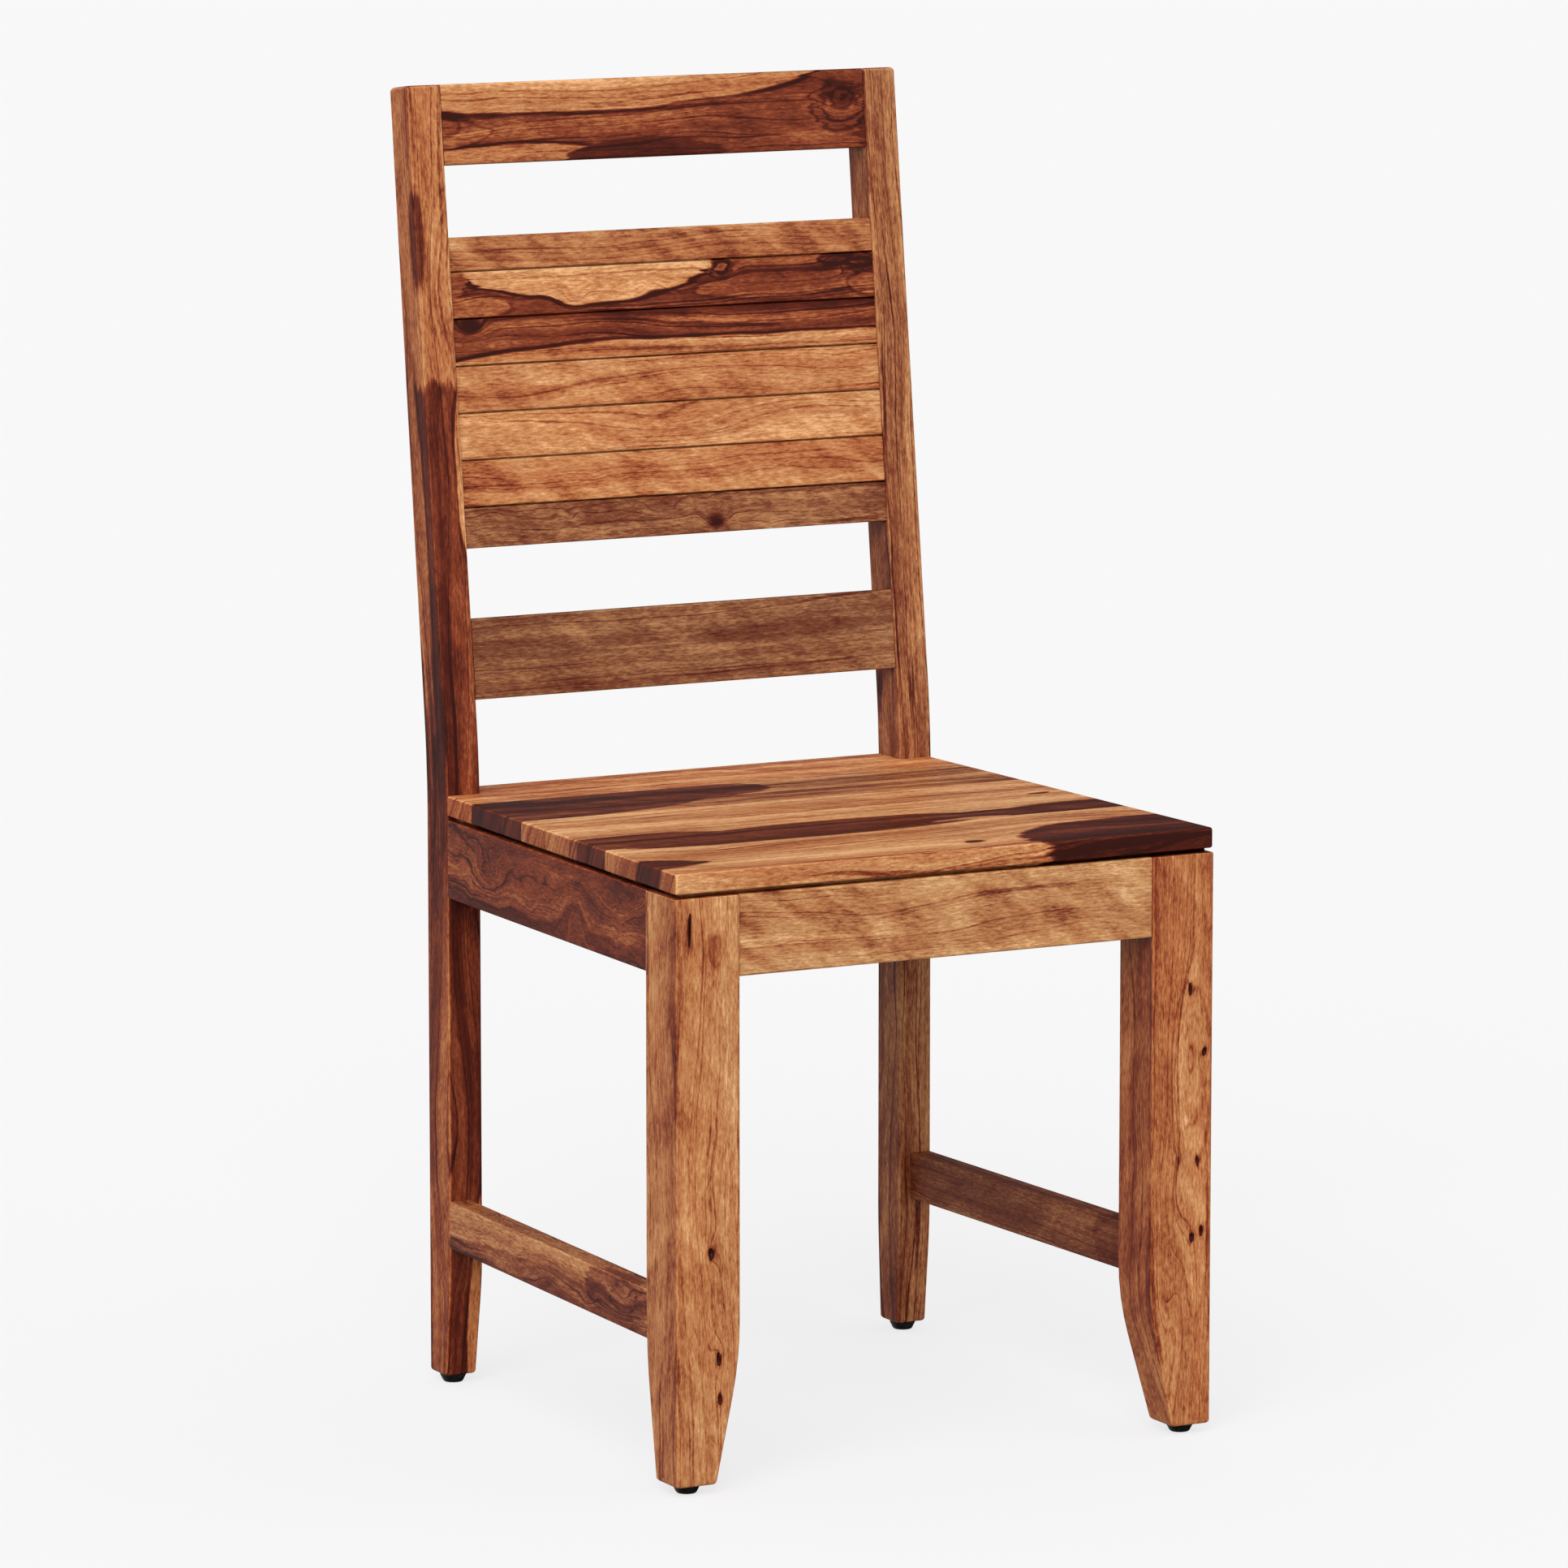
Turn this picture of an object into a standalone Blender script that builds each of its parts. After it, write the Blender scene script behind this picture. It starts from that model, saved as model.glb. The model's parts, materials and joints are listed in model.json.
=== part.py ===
"""A slat-back dining chair in solid hardwood, built as a joiner builds it.

Two tapered front legs and two bent rear posts carry four aprons and two side stretchers on tenons.
The back is a top rail, a panel of tongued slats and a lower rail between the posts. The seat is
glued up from boards, rebated underneath so that it floats over the frame on a thin shadow line,
and held by screws through the corner blocks. Each foot stands on a nailed-on glide.

Metres, +Z up, front towards -Y. The origin is on the floor, under the middle of the chair.
"""

import math

import bmesh
import bpy
from mathutils import Vector

# Fits, and how far a cutter starts outside the face it cuts
CLEARANCE = 0.0003
OVERRUN = 0.0040

# The whole chair
SEAT_HEIGHT = 0.457
FRONT_WIDTH = 0.448
REAR_WIDTH = 0.419
POST_SETBACK = 0.4015
GLIDE_HEIGHT = 0.007

# Front legs
LEG_WIDTH = 0.052
LEG_DEPTH = 0.0485
LEG_TAPER_WIDTH = 0.0195
LEG_TAPER_DEPTH = 0.0150
LEG_TAPER_LENGTH = 0.092
LEG_TAPER_EASE = 0.056

# Rear posts
POST_WIDTH = 0.028
POST_DEPTH = 0.0355
POST_DEPTH_TOP = 0.0305
POST_TAPER_WIDTH = 0.0025
POST_TAPER_DEPTH = 0.0080
POST_TAPER_LENGTH = 0.080
POST_TAPER_EASE = 0.040
LEAN = math.radians(6.9)
BEND_ABOVE_SEAT = 0.019
BEND_LENGTH = 0.080

# Back, measured up along the leaning posts from the middle of their bend
LOWER_RAIL_START = 0.0520
LOWER_RAIL_HEIGHT = 0.0612
LOWER_GAP = 0.0532
BOTTOM_SLAT_HEIGHT = 0.0302
SLAT_HEIGHT = 0.0356
MIDDLE_SLATS = 5
TOP_SLAT_HEIGHT = 0.0268
UPPER_GAP = 0.0546
TOP_RAIL_HEIGHT = 0.0608
RAIL_THICKNESS = 0.019
RAIL_INSET = 0.0010
SLAT_THICKNESS = 0.0140
SLAT_INSET = 0.0022
SLAT_REVEAL = 0.0014
SLAT_CHAMFER = 0.0008
TONGUE_THICKNESS = 0.0045
TONGUE_LENGTH = 0.0050
HOUSING_DEPTH = 0.0080

# Seat
SEAT_THICKNESS = 0.0150
SHADOW_GAP = 0.0032
SHADOW_DEPTH = 0.0050
SHADOW_UNDERCUT = 0.0005
REAR_BOARD_WIDTH = 0.080
BOARD_PARTS = (120, 31, 32, 41, 43, 36, 54)
SEAT_ROUND = 0.0020
SEAT_CORNER = 0.0040
SEAT_LOWER_CHAMFER = 0.0008

# Aprons and stretchers
APRON_HEIGHT = 0.0600
APRON_THICKNESS = 0.020
FRONT_APRON_INSET = 0.0015
SIDE_INSET = 0.0020
REAR_APRON_INSET = 0.0080
STRETCHER_HEIGHT = 0.0367
STRETCHER_THICKNESS = 0.018
STRETCHER_BOTTOM = 0.1081

# Tenons
TENON_THICKNESS = 0.0095
TENON_SHOULDER = 0.0085
STRETCHER_SHOULDER = 0.0060
TENON_ROUND = 0.0020
LEG_TENON = 0.0240
TENON_WALL = 0.00225
SIDE_TENON = 0.0190
RAIL_TENON = 0.0140

# Corner blocks, screws, glides and their nails
BLOCK_REACH = 0.085
BLOCK_HEIGHT = 0.030
BLOCK_DROP = 0.0020
BLOCK_SCREW_REACH = 0.062
SCREW_RADIUS = 0.0020
SCREW_HEAD_RADIUS = 0.0040
SCREW_HEAD_HEIGHT = 0.0026
SCREW_TIP = 0.0040
APRON_SCREW_BITE = 0.0140
SEAT_SCREW_BITE = 0.0120
SCREW_SEAT_DEPTH = 0.0120
GLIDE_RADIUS = 0.0100
GLIDE_FOOT_RADIUS = 0.0078
GLIDE_EDGE = 0.0008
GLIDE_RECESS_RADIUS = 0.0036
GLIDE_RECESS_DEPTH = 0.0034
NAIL_HEAD_RADIUS = 0.0030
NAIL_HEAD_HEIGHT = 0.0010
NAIL_RADIUS = 0.0011
NAIL_LENGTH = 0.0180
NAIL_TIP = 0.0030

# Softened arrises
ARRIS = 0.0018
FOOT_ROUND = 0.0025
POST_END_ROUND = 0.0030
LEG_END_ROUND = 0.0008
ARC_STEPS = 3
EASE_STEPS = 4
BEND_STEPS = 6
ROUND_SIDES = 16

# Worked out from the values above
FRAME_TOP = SEAT_HEIGHT - SEAT_THICKNESS - SHADOW_GAP - CLEARANCE
APRON_BOTTOM = FRAME_TOP - APRON_HEIGHT
BEND_HEIGHT = SEAT_HEIGHT + BEND_ABOVE_SEAT
LOWER_RAIL_TOP = LOWER_RAIL_START + LOWER_RAIL_HEIGHT
PANEL_START = LOWER_RAIL_TOP + LOWER_GAP
PANEL_TOP = PANEL_START + BOTTOM_SLAT_HEIGHT + MIDDLE_SLATS * SLAT_HEIGHT + TOP_SLAT_HEIGHT
TOP_RAIL_START = PANEL_TOP + UPPER_GAP
BACK_TOP = TOP_RAIL_START + TOP_RAIL_HEIGHT
SEAT_DEPTH = POST_SETBACK + POST_DEPTH
POST_INNER = REAR_WIDTH / 2 - POST_WIDTH
LEG_INNER = FRONT_WIDTH / 2 - LEG_WIDTH
REAR_APRON_FRONT = SEAT_DEPTH - REAR_APRON_INSET - APRON_THICKNESS
SIDE_TENON_INNER = REAR_WIDTH / 2 - (APRON_THICKNESS + TENON_THICKNESS) / 2
POST_TENON = SIDE_TENON_INNER - TENON_WALL - POST_INNER
STRETCHER_TOP = STRETCHER_BOTTOM + STRETCHER_HEIGHT
POST_TOP_Y = POST_SETBACK + (BACK_TOP - POST_END_ROUND) * math.sin(LEAN)
OVERALL_DEPTH = POST_TOP_Y + POST_DEPTH_TOP * math.cos(LEAN)
SIDES = {"left": -1, "right": 1}

# Colours, roughness and metallic value of each finish
GOLDEN_WOOD = ("golden_wood", (0.56, 0.27, 0.10), 0.42, 0.0)
RED_WOOD = ("red_brown_wood", (0.30, 0.10, 0.045), 0.42, 0.0)
DARK_WOOD = ("dark_heartwood", (0.09, 0.030, 0.025), 0.40, 0.0)
DULL_WOOD = ("brown_wood", (0.33, 0.17, 0.08), 0.48, 0.0)
STEEL = ("zinc_steel", (0.62, 0.62, 0.60), 0.35, 1.0)
PLASTIC = ("black_plastic", (0.012, 0.012, 0.013), 0.45, 0.0)


def clear_scene():
    for item in list(bpy.data.objects):
        bpy.data.objects.remove(item)


def finish_material(finish):
    """The finish's material, made on first use."""
    name, colour, roughness, metallic = finish
    material = bpy.data.materials.get(name)
    if material is None:
        material = bpy.data.materials.new(name)
        material.use_nodes = True
        shader = material.node_tree.nodes["Principled BSDF"]
        shader.inputs["Base Color"].default_value = (*colour, 1.0)
        shader.inputs["Roughness"].default_value = roughness
        shader.inputs["Metallic"].default_value = metallic
    return material


def add_empty(name, location, lean=0.0, parent=None):
    empty = bpy.data.objects.new(name, None)
    empty.location = location
    empty.rotation_euler = (-lean, 0.0, 0.0)
    empty.parent = parent
    bpy.context.scene.collection.objects.link(empty)
    return empty


def add_loft(name, rings, parent, finish=None, location=(0.0, 0.0, 0.0)):
    """One closed solid through a row of rings that all have the same number of points."""
    mesh = bpy.data.meshes.new(name)
    shape = bmesh.new()
    loops = [[shape.verts.new(point) for point in ring] for ring in rings]
    count = len(rings[0])
    for first, second in zip(loops, loops[1:]):
        for index in range(count):
            after = (index + 1) % count
            shape.faces.new((first[index], first[after], second[after], second[index]))
    shape.faces.new(loops[0])
    shape.faces.new(loops[-1])
    bmesh.ops.recalc_face_normals(shape, faces=shape.faces)
    shape.to_mesh(mesh)
    shape.free()
    mesh.shade_smooth()
    mesh.set_sharp_from_angle(angle=math.radians(50))
    solid = bpy.data.objects.new(name, mesh)
    solid.location = location
    solid.parent = parent
    if finish is not None:
        mesh.materials.append(finish_material(finish))
    bpy.context.scene.collection.objects.link(solid)
    return solid


def cut(solid, cutter):
    """Takes the cutter's shape out of the solid and keeps the cutter as a guide."""
    cutter.hide_render = True
    cutter.display_type = "WIRE"
    difference = solid.modifiers.new(cutter.name, "BOOLEAN")
    difference.operation = "DIFFERENCE"
    difference.solver = "EXACT"
    difference.object = cutter


def rounded_rectangle(low_u, high_u, low_v, high_v, radius):
    """Points round a rectangle whose corners are arcs."""
    corners = (
        (high_u - radius, high_v - radius, 0),
        (low_u + radius, high_v - radius, 1),
        (low_u + radius, low_v + radius, 2),
        (high_u - radius, low_v + radius, 3),
    )
    points = []
    for centre_u, centre_v, quarter in corners:
        for step in range(ARC_STEPS + 1):
            angle = (quarter + step / ARC_STEPS) * math.pi / 2
            points.append((centre_u + radius * math.cos(angle), centre_v + radius * math.sin(angle)))
    return points


def end_rounding(radius):
    """Pairs of (distance from the end, inset of the outline) that round an end over."""
    pairs = []
    for step in range(ARC_STEPS + 1):
        angle = step / ARC_STEPS * math.pi / 2
        pairs.append((radius * (1 - math.sin(angle)), radius * (1 - math.cos(angle))))
    return list(reversed(pairs))


def taper_share(rise, length, ease):
    """How much of a foot taper is taken off at this rise: straight, then eased into the leg."""
    start = length - ease / 2
    end = length + ease / 2
    if rise >= end:
        return 0.0
    if rise <= start:
        return (length - rise) / length
    return (end - rise) ** 2 / (2 * ease * length)


def taper_rises(length, ease):
    """Rises that a tapered foot needs a ring at."""
    start = length - ease / 2
    return [start + ease * step / EASE_STEPS for step in range(EASE_STEPS + 1)]


def side_x(y):
    """Outer face of the side aprons and stretchers, half the width at this depth."""
    front = FRONT_WIDTH / 2 - SIDE_INSET
    share = (y - LEG_DEPTH) / (POST_SETBACK - LEG_DEPTH)
    return front + (REAR_WIDTH / 2 - front) * share


def seat_x(y):
    """Side edge of the seat, half the width at this depth."""
    return FRONT_WIDTH / 2 + (REAR_WIDTH - FRONT_WIDTH) / 2 * y / POST_SETBACK


def turned(profile, sides=ROUND_SIDES):
    """Rings round +Z from (radius, height) pairs."""
    angles = [2 * math.pi * index / sides for index in range(sides)]
    return [[(r * math.cos(a), r * math.sin(a), z) for a in angles] for r, z in profile]


def pointed(rings, origin, direction):
    """Rings made round +Z, turned to run along a direction from an origin."""
    turn = Vector(direction).to_track_quat("Z", "Y")
    return [[tuple(Vector(origin) + turn @ Vector(point)) for point in ring] for ring in rings]


def front_leg(name, side, chair):
    """Square leg, tapered towards the floor on its inner and rear faces."""
    length = FRAME_TOP - GLIDE_HEIGHT
    stations = [(drop, inset) for drop, inset in end_rounding(FOOT_ROUND)]
    rises = taper_rises(LEG_TAPER_LENGTH, LEG_TAPER_EASE)
    stations += [(rise, 0.0) for rise in rises]
    stations += [(length - drop, inset) for drop, inset in reversed(end_rounding(LEG_END_ROUND))]
    rings = []
    for rise, inset in stations:
        share = taper_share(rise, LEG_TAPER_LENGTH, LEG_TAPER_EASE)
        outline = rounded_rectangle(
            LEG_INNER + LEG_TAPER_WIDTH * share + inset,
            FRONT_WIDTH / 2 - inset,
            inset,
            LEG_DEPTH - LEG_TAPER_DEPTH * share - inset,
            ARRIS,
        )
        rings.append([(side * x, y, GLIDE_HEIGHT + rise) for x, y in outline])
    return add_loft(name, rings, chair, GOLDEN_WOOD)


def post_station(along):
    """Front-face point and lean of a post at a length along it, counted from the bend's middle."""
    radius = BEND_LENGTH / LEAN
    half = radius * math.tan(LEAN / 2)
    if along <= -half:
        return POST_SETBACK, BEND_HEIGHT + along, 0.0
    if along >= half:
        return POST_SETBACK + along * math.sin(LEAN), BEND_HEIGHT + along * math.cos(LEAN), LEAN
    lean = LEAN * (along + half) / (2 * half)
    y = POST_SETBACK + radius * (1 - math.cos(lean))
    z = BEND_HEIGHT - half + radius * math.sin(lean)
    return y, z, lean


def rear_post(name, side, chair):
    """One long post: foot taper, upright leg, gentle bend at the seat, leaning back, square top."""
    foot = GLIDE_HEIGHT - BEND_HEIGHT
    half = BEND_LENGTH / LEAN * math.tan(LEAN / 2)
    stations = [(foot + drop, inset) for drop, inset in end_rounding(FOOT_ROUND)]
    stations += [(foot + rise, 0.0) for rise in taper_rises(POST_TAPER_LENGTH, POST_TAPER_EASE)]
    stations += [(half * (2 * step / BEND_STEPS - 1), 0.0) for step in range(BEND_STEPS + 1)]
    stations += [(BACK_TOP - drop, inset) for drop, inset in reversed(end_rounding(POST_END_ROUND))]
    rings = []
    for along, inset in stations:
        y, z, lean = post_station(along)
        share = taper_share(along - foot, POST_TAPER_LENGTH, POST_TAPER_EASE)
        thinning = (POST_DEPTH - POST_DEPTH_TOP) * max(0.0, along / BACK_TOP)
        outline = rounded_rectangle(
            POST_INNER + POST_TAPER_WIDTH * share + inset,
            REAR_WIDTH / 2 - inset,
            POST_TAPER_DEPTH * share + inset,
            POST_DEPTH - thinning - inset,
            ARRIS,
        )
        ring = [(side * x, y + v * math.cos(lean), z - v * math.sin(lean)) for x, v in outline]
        rings.append(ring)
    return add_loft(name, rings, chair, RED_WOOD if side < 0 else GOLDEN_WOOD)


def cross_rail(name, half_length, tenon, front, thickness, low, high, shoulder, parent, finish):
    """A rail along X with a tenon on each end."""
    body = rounded_rectangle(front, front + thickness, low, high, ARRIS)
    middle = front + thickness / 2
    cheek = TENON_THICKNESS / 2
    edges = (middle - cheek, middle + cheek, low + shoulder, high - shoulder)
    tongue = rounded_rectangle(*edges, TENON_ROUND)
    end = half_length - CLEARANCE
    stations = (
        (-end - tenon, tongue),
        (-end, tongue),
        (-end, body),
        (end, body),
        (end, tongue),
        (end + tenon, tongue),
    )
    rings = [[(x, y, z) for y, z in outline] for x, outline in stations]
    return add_loft(name, rings, parent, finish)


def cross_mortise(name, solid, side, face, tenon, front, thickness, low, high, shoulder, parent):
    """The pocket that takes a cross rail's tenon, in a face that looks towards the middle."""
    middle = front + thickness / 2
    cheek = TENON_THICKNESS / 2 + CLEARANCE
    pocket = rounded_rectangle(
        middle - cheek,
        middle + cheek,
        low + shoulder - CLEARANCE,
        high - shoulder + CLEARANCE,
        TENON_ROUND + CLEARANCE,
    )
    rings = [[(side * x, y, z) for y, z in pocket] for x in (face - OVERRUN, face + tenon)]
    cut(solid, add_loft(name, rings, parent))


def side_rail(name, side, thickness, low, high, shoulder, chair, finish):
    """An apron or stretcher from front leg to rear post, at the slant of the chair's side."""
    front = LEG_DEPTH + CLEARANCE
    back = POST_SETBACK - CLEARANCE
    cheek = TENON_THICKNESS / 2

    def body(y):
        return rounded_rectangle(side_x(y) - thickness, side_x(y), low, high, ARRIS)

    def tongue(y):
        middle = side_x(y) - thickness / 2
        edges = (middle - cheek, middle + cheek, low + shoulder, high - shoulder)
        return rounded_rectangle(*edges, TENON_ROUND)

    stations = (
        (front - SIDE_TENON, tongue(front)),
        (front, tongue(front)),
        (front, body(front)),
        (back, body(back)),
        (back, tongue(back)),
        (back + SIDE_TENON, tongue(back)),
    )
    rings = [[(side * x, y, z) for x, z in outline] for y, outline in stations]
    return add_loft(name, rings, chair, finish)


def side_mortise(name, solid, side, face, away, thickness, low, high, shoulder, chair):
    """The pocket for a side rail's tenon; away is -1 into a front leg and +1 into a post."""
    middle = side_x(face - away * CLEARANCE) - thickness / 2
    cheek = TENON_THICKNESS / 2 + CLEARANCE
    pocket = rounded_rectangle(
        middle - cheek,
        middle + cheek,
        low + shoulder - CLEARANCE,
        high - shoulder + CLEARANCE,
        TENON_ROUND + CLEARANCE,
    )
    ends = (face - away * OVERRUN, face + away * SIDE_TENON)
    rings = [[(side * x, y, z) for x, z in pocket] for y in ends]
    cut(solid, add_loft(name, rings, chair))


def slat_outline(low, high, tongue, groove):
    """A slat's section: tongue on its upper edge, groove in its lower one, chamfered in front."""
    front = SLAT_INSET
    back = SLAT_INSET + SLAT_THICKNESS
    middle = (front + back) / 2
    cheek = TONGUE_THICKNESS / 2
    bottom = low + (SLAT_REVEAL if groove else 0.0)
    points = [(front, bottom + SLAT_CHAMFER), (front, high - SLAT_CHAMFER), (front + SLAT_CHAMFER, high)]
    if tongue:
        points += [(middle - cheek, high), (middle - cheek, high + TONGUE_LENGTH)]
        points += [(middle + cheek, high + TONGUE_LENGTH), (middle + cheek, high)]
    points += [(back - SLAT_CHAMFER, high), (back, high - SLAT_CHAMFER)]
    points += [(back, bottom + SLAT_CHAMFER), (back - SLAT_CHAMFER, bottom)]
    if groove:
        wall = cheek + CLEARANCE
        depth = low + TONGUE_LENGTH + CLEARANCE
        points += [(middle + wall, bottom), (middle + wall, depth)]
        points += [(middle - wall, depth), (middle - wall, bottom)]
    points.append((front + SLAT_CHAMFER, bottom))
    return points


def back_slats(back):
    """The slat panel, numbered from the top; slats end in a housing cut along each post."""
    heights = [BOTTOM_SLAT_HEIGHT] + [SLAT_HEIGHT] * MIDDLE_SLATS + [TOP_SLAT_HEIGHT]
    end = POST_INNER + HOUSING_DEPTH - CLEARANCE
    low = PANEL_START
    count = len(heights)
    finishes = (DULL_WOOD, GOLDEN_WOOD, GOLDEN_WOOD, GOLDEN_WOOD, RED_WOOD, DARK_WOOD, GOLDEN_WOOD)
    for index, height in enumerate(heights):
        outline = slat_outline(low, low + height, index < count - 1, index > 0)
        rings = [[(x, y, z) for y, z in outline] for x in (-end, end)]
        finish = finishes[index % len(finishes)]
        add_loft(f"back_slat_{count - index}", rings, back, finish)
        low += height


def slat_housing(name, solid, side, back):
    pocket = rounded_rectangle(
        SLAT_INSET - CLEARANCE,
        SLAT_INSET + SLAT_THICKNESS + CLEARANCE,
        PANEL_START - CLEARANCE,
        PANEL_TOP + CLEARANCE,
        CLEARANCE,
    )
    ends = (POST_INNER - OVERRUN, POST_INNER + HOUSING_DEPTH)
    rings = [[(side * x, y, z) for y, z in pocket] for x in ends]
    cut(solid, add_loft(name, rings, back))


def seat_joints():
    """Depths of the joints between the seat boards, front edge and back edge included."""
    room = SEAT_DEPTH - REAR_BOARD_WIDTH
    joints = [0.0]
    for part in BOARD_PARTS:
        joints.append(joints[-1] + room * part / sum(BOARD_PARTS))
    return joints + [SEAT_DEPTH]


def front_corner(inset, side):
    """The seat's rounded front corner, from its side edge to its front edge."""
    radius = max(SEAT_CORNER - inset, SEAT_LOWER_CHAMFER)
    centre = (seat_x(0.0) - inset - radius, inset + radius)
    points = []
    for step in range(ARC_STEPS + 1):
        angle = -step / ARC_STEPS * math.pi / 2
        x = centre[0] + radius * math.cos(angle)
        points.append((side * x, centre[1] + radius * math.sin(angle)))
    return points


def board_outline(front, back, inset, first, last):
    """Plan of a seat board whose outer edges are drawn in by inset."""
    right = []
    if last:
        notch = POST_SETBACK - CLEARANCE
        inner = POST_INNER - CLEARANCE
        right += [(inner, back - inset), (inner, notch), (seat_x(notch) - inset, notch)]
    else:
        right.append((seat_x(back) - inset, back))
    if first:
        right += front_corner(inset, 1)
    else:
        right.append((seat_x(front) - inset, front))
    return right + [(-x, y) for x, y in reversed(right)]


def seat_boards(chair):
    """Boards from front to back, stepped in underneath to leave the shadow line."""
    joints = seat_joints()
    count = len(joints) - 1
    boards = []
    step_height = SEAT_HEIGHT - SEAT_THICKNESS
    levels = [
        (FRAME_TOP + CLEARANCE, SHADOW_DEPTH),
        (step_height + SHADOW_UNDERCUT, SHADOW_DEPTH),
        (step_height, SEAT_LOWER_CHAMFER),
        (step_height + SEAT_LOWER_CHAMFER, 0.0),
    ]
    levels += [(SEAT_HEIGHT - drop, inset) for drop, inset in reversed(end_rounding(SEAT_ROUND))]
    finishes = (GOLDEN_WOOD, DARK_WOOD, DARK_WOOD, GOLDEN_WOOD, GOLDEN_WOOD, RED_WOOD, DARK_WOOD)
    for index in range(count):
        first = index == 0
        last = index == count - 1
        front = joints[index] + (0.0 if first else CLEARANCE / 2)
        back = joints[index + 1] - (0.0 if last else CLEARANCE / 2)
        rings = []
        for height, inset in levels:
            outline = board_outline(front, back, inset, first, last)
            rings.append([(x, y, height) for x, y in outline])
        finish = finishes[index] if index < len(finishes) else GOLDEN_WOOD
        board = add_loft(f"seat_board_{index + 1}", rings, chair, finish)
        boards.append((front, back, board))
    return boards


def screw_profile(length, grow=0.0):
    """Countersunk screw from its head's face at 0 to its point, larger by grow for its hole."""
    head = SCREW_HEAD_RADIUS + grow
    shank = SCREW_RADIUS + grow
    neck = SCREW_HEAD_HEIGHT
    return [(head, 0.0), (shank, neck), (shank, length - SCREW_TIP), (shank / 4, length + grow)]


def add_screw(name, origin, direction, length, chair, hosts):
    """A screw, and its hole in each piece that it passes through or bites into."""
    add_loft(name, pointed(turned(screw_profile(length)), origin, direction), chair, STEEL)
    profile = screw_profile(length, CLEARANCE)
    head = profile[0][0]
    hole = [(head, -BLOCK_REACH / 2), (head, -CLEARANCE)] + profile[1:]
    for host in hosts:
        rings = pointed(turned(hole), origin, direction)
        cut(host, add_loft(f"{name}_hole_in_{host.name}", rings, chair))


def corner_block(name, side, end, aprons, boards, chair):
    """Block across a corner, notched round the leg, with a screw to each apron and one to the seat.

    Its reach along each apron is counted from the aprons' inner corner.
    """
    if end == "front":
        inward = 1
        apron_face = FRONT_APRON_INSET + APRON_THICKNESS + CLEARANCE
        notch_x = LEG_INNER - CLEARANCE
        notch_y = LEG_DEPTH + CLEARANCE
    else:
        inward = -1
        apron_face = REAR_APRON_FRONT - CLEARANCE
        notch_x = POST_INNER - CLEARANCE
        notch_y = POST_SETBACK - CLEARANCE

    def side_face(y):
        return side_x(y) - APRON_THICKNESS - CLEARANCE

    far_x = side_face(apron_face) - BLOCK_REACH
    far_y = apron_face + inward * BLOCK_REACH
    plan = (
        (notch_x, apron_face),
        (far_x, apron_face),
        (side_face(far_y), far_y),
        (side_face(notch_y), notch_y),
        (notch_x, notch_y),
    )
    top = FRAME_TOP - BLOCK_DROP
    bottom = top - BLOCK_HEIGHT
    rings = [[(side * x, y, z) for x, y in plan] for z in (bottom, top)]
    block = add_loft(name, rings, chair, DULL_WOOD)

    middle = (top + bottom) / 2
    length = SCREW_SEAT_DEPTH + APRON_SCREW_BITE
    x = side_face(apron_face) - BLOCK_SCREW_REACH
    start = (side * x, apron_face + inward * SCREW_SEAT_DEPTH, middle)
    add_screw(f"{name}_screw_1", start, (0, -inward, 0), length, chair, (block, aprons[end]))

    y = apron_face + inward * BLOCK_SCREW_REACH
    start = (side * (side_face(y) - SCREW_SEAT_DEPTH), y, middle)
    add_screw(f"{name}_screw_2", start, (side, 0, 0), length, chair, (block, aprons[side]))

    x = (notch_x + (far_x + side_face(far_y)) / 2) / 2
    y = (notch_y + (apron_face + far_y) / 2) / 2
    length = BLOCK_HEIGHT + BLOCK_DROP + SEAT_SCREW_BITE
    above = [board for front, back, board in boards if front - SCREW_RADIUS < y < back + SCREW_RADIUS]
    start = (side * x, y, bottom)
    add_screw(f"{name}_seat_screw", start, (0, 0, 1), length, chair, (block, *above))


def glide(name, leg, x, y, chair):
    """A moulded foot under a leg, and the nail that holds it, sunk in a recess underneath."""
    top = GLIDE_HEIGHT - CLEARANCE
    profile = (
        (GLIDE_FOOT_RADIUS - GLIDE_EDGE, 0.0),
        (GLIDE_FOOT_RADIUS, GLIDE_EDGE),
        (GLIDE_RADIUS, top - 2 * GLIDE_EDGE),
        (GLIDE_RADIUS, top - GLIDE_EDGE),
        (GLIDE_RADIUS - GLIDE_EDGE, top),
    )
    foot = add_loft(name, turned(profile), chair, PLASTIC, (x, y, 0.0))

    start = GLIDE_RECESS_DEPTH - NAIL_HEAD_HEIGHT - CLEARANCE
    nail = (
        (NAIL_HEAD_RADIUS, start),
        (NAIL_HEAD_RADIUS, start + NAIL_HEAD_HEIGHT),
        (NAIL_RADIUS, start + NAIL_HEAD_HEIGHT),
        (NAIL_RADIUS, start + NAIL_LENGTH - NAIL_TIP),
        (NAIL_RADIUS / 4, start + NAIL_LENGTH),
    )
    add_loft(f"{name}_nail", turned(nail), chair, STEEL, (x, y, 0.0))

    bore = NAIL_RADIUS + CLEARANCE
    recess = (
        (GLIDE_RECESS_RADIUS, -GLIDE_EDGE),
        (GLIDE_RECESS_RADIUS, GLIDE_RECESS_DEPTH),
        (bore, GLIDE_RECESS_DEPTH),
        (bore, GLIDE_HEIGHT + GLIDE_EDGE),
    )
    cut(foot, add_loft(f"{name}_bore", turned(recess), chair, None, (x, y, 0.0)))
    hole = ((bore, GLIDE_HEIGHT - GLIDE_EDGE), (bore, start + NAIL_LENGTH + CLEARANCE))
    cut(leg, add_loft(f"{name}_hole_in_leg", turned(hole), chair, None, (x, y, 0.0)))


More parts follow.
